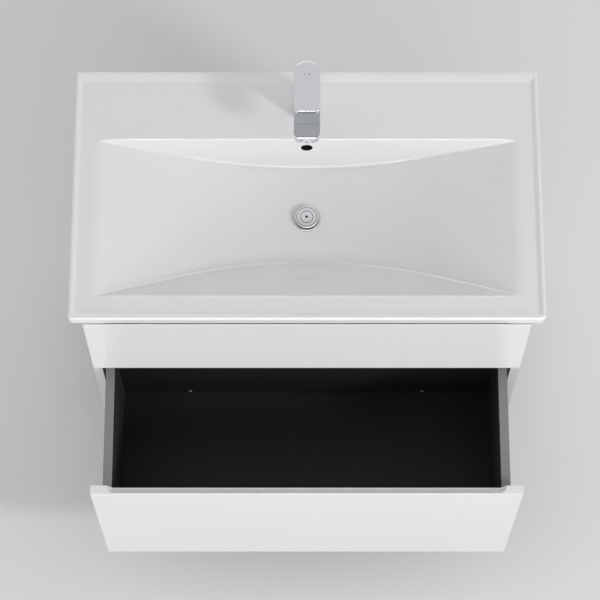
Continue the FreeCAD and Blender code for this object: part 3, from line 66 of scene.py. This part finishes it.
# Finishes: darkest and lightest colour, range of roughness, scale of the colour's clouds and of the grain,
# height of the grain, its stretch along the axes, whether it is metal, and other values of the shader
POLISHED_CHROME = dict(
    dark=(0.80, 0.81, 0.83), light=(0.84, 0.85, 0.86), rough=(0.03, 0.07),
    cloud=40.0, grain=160.0, height=0.00001, metal=1.0,
)
FINISHES = {
    "white_ceramic": dict(
        dark=(0.80, 0.805, 0.81), light=(0.83, 0.832, 0.835), rough=(0.045, 0.075),
        cloud=5.0, grain=22.0, height=0.00012, IOR=1.52,
    ),
    "white_lacquer": dict(
        dark=(0.80, 0.80, 0.803), light=(0.82, 0.82, 0.822), rough=(0.16, 0.24),
        cloud=4.0, grain=90.0, height=0.00004, Specular_IOR_Level=0.25,
    ),
    "white_board": dict(
        dark=(0.76, 0.76, 0.755), light=(0.80, 0.80, 0.795), rough=(0.38, 0.5),
        cloud=6.0, grain=900.0, height=0.00003,
    ),
    "dark_board": dict(
        dark=(0.014, 0.0145, 0.016), light=(0.022, 0.023, 0.025), rough=(0.42, 0.6),
        cloud=9.0, grain=700.0, height=0.00006, stretch=(1.0, 6.0, 6.0), Specular_IOR_Level=0.3,
    ),
    "side_board": dict(
        dark=(0.034, 0.0345, 0.036), light=(0.044, 0.045, 0.047), rough=(0.5, 0.65),
        cloud=9.0, grain=700.0, height=0.00006, stretch=(6.0, 1.0, 6.0), Specular_IOR_Level=0.2,
    ),
    "back_board": dict(
        dark=(0.014, 0.0145, 0.016), light=(0.022, 0.023, 0.025), rough=(0.5, 0.65),
        cloud=9.0, grain=700.0, height=0.00006, stretch=(1.0, 6.0, 6.0), Specular_IOR_Level=0.2,
    ),
    "chrome": POLISHED_CHROME,
    "marked_chrome": POLISHED_CHROME,
    "satin_chrome": dict(
        dark=(0.92, 0.925, 0.93), light=(0.95, 0.955, 0.96), rough=(0.3, 0.4),
        cloud=40.0, grain=500.0, height=0.00001, metal=1.0,
    ),
    "brushed_chrome": dict(
        dark=(0.66, 0.67, 0.68), light=(0.70, 0.71, 0.72), rough=(0.3, 0.4),
        cloud=40.0, grain=500.0, height=0.00001, metal=1.0,
    ),
    "zinc_steel": dict(
        dark=(0.42, 0.43, 0.44), light=(0.58, 0.59, 0.60), rough=(0.28, 0.45),
        cloud=70.0, grain=500.0, height=0.00002, stretch=(1.0, 0.08, 1.0), metal=1.0,
    ),
    "dull_zinc": dict(
        dark=(0.30, 0.305, 0.31), light=(0.36, 0.365, 0.37), rough=(0.4, 0.55),
        cloud=70.0, grain=500.0, height=0.00002,
    ),
    "satin_aluminium": dict(
        dark=(0.66, 0.67, 0.68), light=(0.72, 0.73, 0.74), rough=(0.22, 0.34),
        cloud=30.0, grain=900.0, height=0.00002, stretch=(1.0, 1.0, 0.06), metal=1.0,
    ),
    "brass": dict(
        dark=(0.60, 0.45, 0.20), light=(0.68, 0.53, 0.27), rough=(0.2, 0.34),
        cloud=60.0, grain=500.0, height=0.00002, metal=1.0,
    ),
    "white_plastic": dict(
        dark=(0.76, 0.76, 0.75), light=(0.80, 0.80, 0.79), rough=(0.3, 0.42),
        cloud=20.0, grain=600.0, height=0.00003,
    ),
    "black_rubber": dict(
        dark=(0.018, 0.018, 0.018), light=(0.03, 0.03, 0.03), rough=(0.6, 0.8),
        cloud=60.0, grain=1200.0, height=0.00005,
    ),
    "clear_rubber": dict(
        dark=(0.62, 0.62, 0.61), light=(0.70, 0.70, 0.69), rough=(0.3, 0.45),
        cloud=80.0, grain=1200.0, height=0.00003,
    ),
    "beech": dict(
        dark=(0.50, 0.33, 0.18), light=(0.62, 0.44, 0.26), rough=(0.5, 0.65),
        cloud=60.0, grain=400.0, height=0.00005, stretch=(0.1, 1.0, 1.0),
    ),
}
CLOUD_DETAIL = 3.0
GRAIN_DETAIL = 4.0

# Finish of the nodes whose names hold these words, in place of the record's finish for them
OWN_FINISHES = {
    "_drawer_side": "side_board",
    "_drawer_back": "back_board",
    "_recess_": "back_board",
    "_drawer_fittings": "dull_zinc",
    "waste_plug": "satin_chrome",
    "waste_body": "brushed_chrome",
    "lever": "marked_chrome",
}

# Overflow: limits of its hole and duct, as reaches from the basin's back and drops from its top
OVERFLOW_RADIUS = 0.01015
OVERFLOW_DROP = 0.0315
OVERFLOW_REACH = (0.0964, 0.1485)
DUCT_HALF_WIDTH = 0.0154
DUCT_REACH = (0.0964, 0.1246)
DUCT_DROP = (0.0180, 0.1245)
# Near-black painted shade for the overflow's hole and the inside of its duct
OVERFLOW_SHADE_COLOUR = (0.02, 0.02, 0.02)
PAINT_EDGE = 0.0001

# Plug: radii between which the painted shade of its dimple fades out, and its painted shade rings with the
# half widths of their fading
PLUG_DIMPLE = (0.0026, 0.0021)
PLUG_DIMPLE_SHADE = (0.03, 0.03, 0.03)
PLUG_RINGS = (0.0110, 0.0172)
PLUG_RING_HALF = (0.0008, 0.0004)
PLUG_RING_SHADE = (0.22, 0.22, 0.225)

# Lever: its two dots, their places from the middle and the tail, and radii between which they fade out
LEVER_DOT_SIDES = (-0.0034, 0.0034)
LEVER_DOT_FROM_TAIL = 0.024
LEVER_DOT_EDGE = (0.00115, 0.00085)
LEVER_DOT_COLOUR = (0.1, 0.1, 0.105)

# Faces that look up or down, by how far their direction leans, and what they get
UP_FACES = (0.8, 0.95)
DOWN_FACES = (-0.4, -0.6)
# Paler colour for up-facing board tops: partly their edging, partly a painted reflection of the bright sky
PALE_TOP_AND_SHEEN_COLOUR = (0.245, 0.245, 0.25)
UNDERSIDE_ROUGH = 0.45

# Shading of the nodes: edges up to this angle are smooth, and corners this close are one
SMOOTH_ANGLE = 32.0
WELD = 2e-6


# Parts of node trees

def add(tree, kind, **values):
    """New node with these input values and settings."""
    node = tree.nodes.new(kind)
    for key, value in values.items():
        if key in node.inputs:
            node.inputs[key].default_value = value
        else:
            setattr(node, key, value)
    return node


def larger(tree, first, second):
    """The larger of two numbers."""
    node = add(tree, "ShaderNodeMath", operation="MAXIMUM")
    tree.links.new(first, node.inputs[0])
    tree.links.new(second, node.inputs[1])
    return node.outputs[0]


def noise(tree, vector, scale, detail, stretch=None):
    """Noise over a place, stretched along axes where asked."""
    if stretch:
        mapping = add(tree, "ShaderNodeMapping", Scale=stretch)
        tree.links.new(vector, mapping.inputs["Vector"])
        vector = mapping.outputs["Vector"]
    node = add(tree, "ShaderNodeTexNoise", Scale=scale, Detail=detail)
    tree.links.new(vector, node.inputs["Vector"])
    return node.outputs["Fac"]


def between(tree, factor, low, high):
    """Number that follows a factor from low to high."""
    node = tree.nodes.new("ShaderNodeMapRange")
    node.inputs["To Min"].default_value = low
    node.inputs["To Max"].default_value = high
    tree.links.new(factor, node.inputs["Value"])
    return node.outputs["Result"]


def tint(tree, factor, low, high):
    """Colour that follows a factor from low to high."""
    node = add(tree, "ShaderNodeMix", data_type="RGBA")
    node.inputs["A"].default_value = (*low, 1.0)
    node.inputs["B"].default_value = (*high, 1.0)
    tree.links.new(factor, node.inputs["Factor"])
    return node.outputs["Result"]


def ramp(tree, value, start, end, times=None):
    """Number that goes smoothly from 0 at start to 1 at end, times another number where one is given."""
    node = add(tree, "ShaderNodeMapRange", interpolation_type="SMOOTHSTEP")
    node.inputs["From Min"].default_value = start
    node.inputs["From Max"].default_value = end
    tree.links.new(value, node.inputs["Value"])
    if times is None:
        return node.outputs["Result"]
    product = add(tree, "ShaderNodeMath", operation="MULTIPLY")
    tree.links.new(node.outputs["Result"], product.inputs[0])
    tree.links.new(times, product.inputs[1])
    return product.outputs[0]


def band(tree, value, low, high, times=None):
    """Number that is 1 from low to high and 0 outside, times another number where one is given."""
    above = ramp(tree, value, low - PAINT_EDGE, low + PAINT_EDGE, times)
    return ramp(tree, value, high + PAINT_EDGE, high - PAINT_EDGE, above)


def axes(tree, kind):
    """X, Y and Z of one kind of coordinates, such as the place on the object or its faces' direction."""
    split = tree.nodes.new("ShaderNodeSeparateXYZ")
    tree.links.new(tree.nodes.new("ShaderNodeTexCoord").outputs[kind], split.inputs["Vector"])
    return split.outputs


def from_axis(tree, plane, centre):
    """Distance of a place from an axis that stands square on a plane of two of its coordinates."""
    place = axes(tree, "Object")
    flat = tree.nodes.new("ShaderNodeCombineXYZ")
    tree.links.new(place[plane[0]], flat.inputs["X"])
    tree.links.new(place[plane[1]], flat.inputs["Y"])
    reach = add(tree, "ShaderNodeVectorMath", operation="DISTANCE")
    tree.links.new(flat.outputs["Vector"], reach.inputs[0])
    reach.inputs[1].default_value = (*centre, 0.0)
    return reach.outputs["Value"]


def seen_rays(tree):
    """1 for what the camera sees, straight or in shiny and clear faces, and 0 for light that bounces."""
    path = tree.nodes.new("ShaderNodeLightPath").outputs
    mirrored = larger(tree, path["Is Glossy Ray"], path["Is Transmission Ray"])
    return larger(tree, path["Is Camera Ray"], mirrored)


# Materials

def finish(name, dark, light, rough, cloud, grain, height, stretch=None, metal=0.0, **sockets):
    """Material whose colour drifts in soft clouds and whose roughness and relief follow a grain."""
    material = bpy.data.materials.new(name)
    material.use_nodes = True
    tree = material.node_tree
    surface = tree.nodes["Principled BSDF"].inputs
    place = tree.nodes.new("ShaderNodeTexCoord").outputs["Object"]
    drift = noise(tree, place, cloud, CLOUD_DETAIL)
    fine = noise(tree, place, grain, GRAIN_DETAIL, stretch)
    tree.links.new(tint(tree, drift, dark, light), surface["Base Color"])
    tree.links.new(between(tree, fine, *rough), surface["Roughness"])
    surface["Metallic"].default_value = metal
    for key, value in sockets.items():
        surface[key.replace("_", " ")].default_value = value
    relief = add(tree, "ShaderNodeBump", Distance=height)
    tree.links.new(fine, relief.inputs["Height"])
    tree.links.new(relief.outputs["Normal"], surface["Normal"])
    return material


def repaint(material, factor, colour):
    """Mix a colour over a material's own where the factor is 1."""
    tree = material.node_tree
    socket = tree.nodes["Principled BSDF"].inputs["Base Color"]
    mix = add(tree, "ShaderNodeMix", data_type="RGBA")
    tree.links.new(socket.links[0].from_socket, mix.inputs["A"])
    mix.inputs["B"].default_value = (*colour, 1.0)
    tree.links.new(factor, mix.inputs["Factor"])
    tree.links.new(mix.outputs["Result"], socket)


def dull(material, factor, rough):
    """Give a material this roughness where the factor is 1."""
    tree = material.node_tree
    socket = tree.nodes["Principled BSDF"].inputs["Roughness"]
    mix = tree.nodes.new("ShaderNodeMix")
    tree.links.new(socket.links[0].from_socket, mix.inputs["A"])
    mix.inputs["B"].default_value = rough
    tree.links.new(factor, mix.inputs["Factor"])
    tree.links.new(mix.outputs["Result"], socket)


def paint_overflow_shade(ceramic):
    """Painted shade: the overflow's hole and the inside of its duct painted near-black, where shade falls.
    """
    tree = ceramic.node_tree
    place = axes(tree, "Object")
    back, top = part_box("basin")[1][1:]
    wide = band(tree, place["X"], -DUCT_HALF_WIDTH, DUCT_HALF_WIDTH)
    deep = band(tree, place["Y"], back - DUCT_REACH[1], back - DUCT_REACH[0], wide)
    duct = band(tree, place["Z"], top - DUCT_DROP[1], top - DUCT_DROP[0], deep)
    repaint(ceramic, duct, OVERFLOW_SHADE_COLOUR)
    reach = from_axis(tree, "XZ", (0.0, top - OVERFLOW_DROP))
    deep = band(tree, place["Y"], back - OVERFLOW_REACH[1], back - OVERFLOW_REACH[0])
    hole = ramp(tree, reach, OVERFLOW_RADIUS + PAINT_EDGE, OVERFLOW_RADIUS - PAINT_EDGE, deep)
    repaint(ceramic, hole, OVERFLOW_SHADE_COLOUR)


def shade_plug(chrome):
    """Painted shade in the plug's cap: its dimple near-black and its two turned rings darkened."""
    tree = chrome.node_tree
    low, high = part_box("waste_plug")
    reach = from_axis(tree, "XY", [(low[axis] + high[axis]) / 2 for axis in (0, 1)])
    outside, edge = PLUG_RING_HALF
    for radius in PLUG_RINGS:
        inner = ramp(tree, reach, radius - outside, radius - edge)
        repaint(chrome, ramp(tree, reach, radius + outside, radius + edge, inner), PLUG_RING_SHADE)
    repaint(chrome, ramp(tree, reach, *PLUG_DIMPLE), PLUG_DIMPLE_SHADE)


def mark_lever(chrome):
    """Two plain dots near the lever's tail, one each for warm and cold."""
    tree = chrome.node_tree
    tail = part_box("lever")[1][1]
    top = ramp(tree, axes(tree, "Normal")["Z"], *UP_FACES)
    for side in LEVER_DOT_SIDES:
        reach = from_axis(tree, "XY", (side, tail - LEVER_DOT_FROM_TAIL))
        repaint(chrome, ramp(tree, reach, *LEVER_DOT_EDGE, top), LEVER_DOT_COLOUR)


def brush_undersides(chrome):
    """Satin metal on the faces that look down, which are not polished."""
    tree = chrome.node_tree
    dull(chrome, ramp(tree, axes(tree, "Normal")["Z"], *DOWN_FACES), UNDERSIDE_ROUGH)


def pale_tops_and_sheen(board):
    """Paler colour on the up-facing faces of the drawers' upright boards: partly their edging, partly a
    painted reflection of the bright sky.
    """
    tree = board.node_tree
    repaint(board, ramp(tree, axes(tree, "Normal")["Z"], *UP_FACES), PALE_TOP_AND_SHEEN_COLOUR)


def make_materials():
    materials = {name: finish(name, **values) for name, values in FINISHES.items()}
    paint_overflow_shade(materials["white_ceramic"])
    shade_plug(materials["satin_chrome"])
    mark_lever(materials["marked_chrome"])
    for name in ("chrome", "marked_chrome"):
        brush_undersides(materials[name])
    for name in ("side_board", "back_board"):
        pale_tops_and_sheen(materials[name])
    return materials


# Nodes

def smooth_group():
    """Modifier that joins the loose corners of a node's faces and keeps only its real edges sharp."""
    tree = bpy.data.node_groups.new("smooth_faces", "GeometryNodeTree")
    tree.interface.new_socket("Geometry", in_out="INPUT", socket_type="NodeSocketGeometry")
    tree.interface.new_socket("Geometry", in_out="OUTPUT", socket_type="NodeSocketGeometry")
    start = tree.nodes.new("NodeGroupInput")
    end = tree.nodes.new("NodeGroupOutput")
    weld = add(tree, "GeometryNodeMergeByDistance", Distance=WELD)
    angle = tree.nodes.new("GeometryNodeInputMeshEdgeAngle")
    gentle = add(tree, "FunctionNodeCompare", operation="LESS_THAN")
    gentle.inputs[1].default_value = math.radians(SMOOTH_ANGLE)
    faces = add(tree, "GeometryNodeSetShadeSmooth", domain="FACE")
    edges = add(tree, "GeometryNodeSetShadeSmooth", domain="EDGE")
    tree.links.new(start.outputs[0], weld.inputs["Geometry"])
    tree.links.new(weld.outputs["Geometry"], faces.inputs["Geometry"])
    tree.links.new(faces.outputs["Geometry"], edges.inputs["Geometry"])
    tree.links.new(angle.outputs["Unsigned Angle"], gentle.inputs[0])
    tree.links.new(gentle.outputs["Result"], edges.inputs["Shade Smooth"])
    tree.links.new(edges.outputs["Geometry"], end.inputs[0])
    return tree


def dress_nodes(materials):
    """Give every node its finish and its smooth shading."""
    group = smooth_group()
    slots = {part["node"]: part["material_slot"] for part in frame["record"]["subparts"]}
    for name, node in frame["nodes"].items():
        own = [own_name for word, own_name in OWN_FINISHES.items() if word in name]
        node.data.materials.clear()
        node.data.materials.append(materials[(own + [slots[name]])[0]])
        node.modifiers.new("smooth", "NODES").node_group = group
        flatten = node.modifiers.new("flatten", "WEIGHTED_NORMAL")
        flatten.keep_sharp = True


# Studio

def make_floor():
    mesh = bpy.data.meshes.new("floor")
    half = FLOOR_SIZE / 2
    corners = [(-half, -half, 0.0), (half, -half, 0.0), (half, half, 0.0), (-half, half, 0.0)]
    mesh.from_pydata(corners, [], [(0, 1, 2, 3)])
    floor = bpy.data.objects.new("floor", mesh)
    bpy.context.scene.collection.objects.link(floor)
    paint = finish("floor", **FLOOR_FINISH)
    repaint(paint, seen_rays(paint.node_tree), FLOOR_COLOUR)
    mesh.materials.append(paint)


def make_light():
    for name, place, target, width, height, watts, on_dull, on_shiny in SOFT_BOXES:
        lamp = bpy.data.lights.new(name, "AREA")
        lamp.shape = "RECTANGLE"
        lamp.size = width
        lamp.size_y = height
        lamp.energy = watts
        box = bpy.data.objects.new(name, lamp)
        box.location = place
        box.rotation_euler = (Vector(target) - Vector(place)).to_track_quat("-Z", "Y").to_euler()
        box.visible_camera = False
        box.visible_diffuse = on_dull
        box.visible_glossy = on_shiny
        bpy.context.scene.collection.objects.link(box)


def make_world():
    """Soft sky for the light, and a pale backdrop for what the camera and shiny faces see."""
    world = bpy.data.worlds.new("studio")
    bpy.context.scene.world = world
    world.use_nodes = True
    tree = world.node_tree
    tree.nodes.clear()
    way = axes(tree, "Generated")
    sky = add(tree, "ShaderNodeBackground", Color=(*SKY_LIGHT, 1.0))
    strength = between(tree, ramp(tree, way["Y"], *SKY_ENDS), *SKY_STRENGTH)
    tree.links.new(strength, sky.inputs["Strength"])
    backdrop = tree.nodes.new("ShaderNodeBackground")
    away = larger(tree, ramp(tree, way["Y"], *REAR_EDGE), ramp(tree, way["Z"], *HORIZON_EDGE))
    tree.links.new(tint(tree, away, OVERHEAD, BACKGROUND), backdrop.inputs["Color"])
    mix = tree.nodes.new("ShaderNodeMixShader")
    tree.links.new(seen_rays(tree), mix.inputs["Fac"])
    tree.links.new(sky.outputs[0], mix.inputs[1])
    tree.links.new(backdrop.outputs[0], mix.inputs[2])
    output = tree.nodes.new("ShaderNodeOutputWorld")
    tree.links.new(mix.outputs[0], output.inputs["Surface"])


def make_camera():
    lens = bpy.data.cameras.new("photo_camera")
    lens.sensor_width = SENSOR
    lens.lens = CAMERA_LENS
    camera = bpy.data.objects.new("photo_camera", lens)
    camera.location = CAMERA_PLACE
    camera.rotation_euler = (math.radians(CAMERA_TILT), 0.0, 0.0)
    bpy.context.scene.collection.objects.link(camera)
    bpy.context.scene.camera = camera


bpy.context.scene.view_settings.view_transform = "Standard"
dress_nodes(make_materials())
make_floor()
make_light()
make_world()
make_camera()
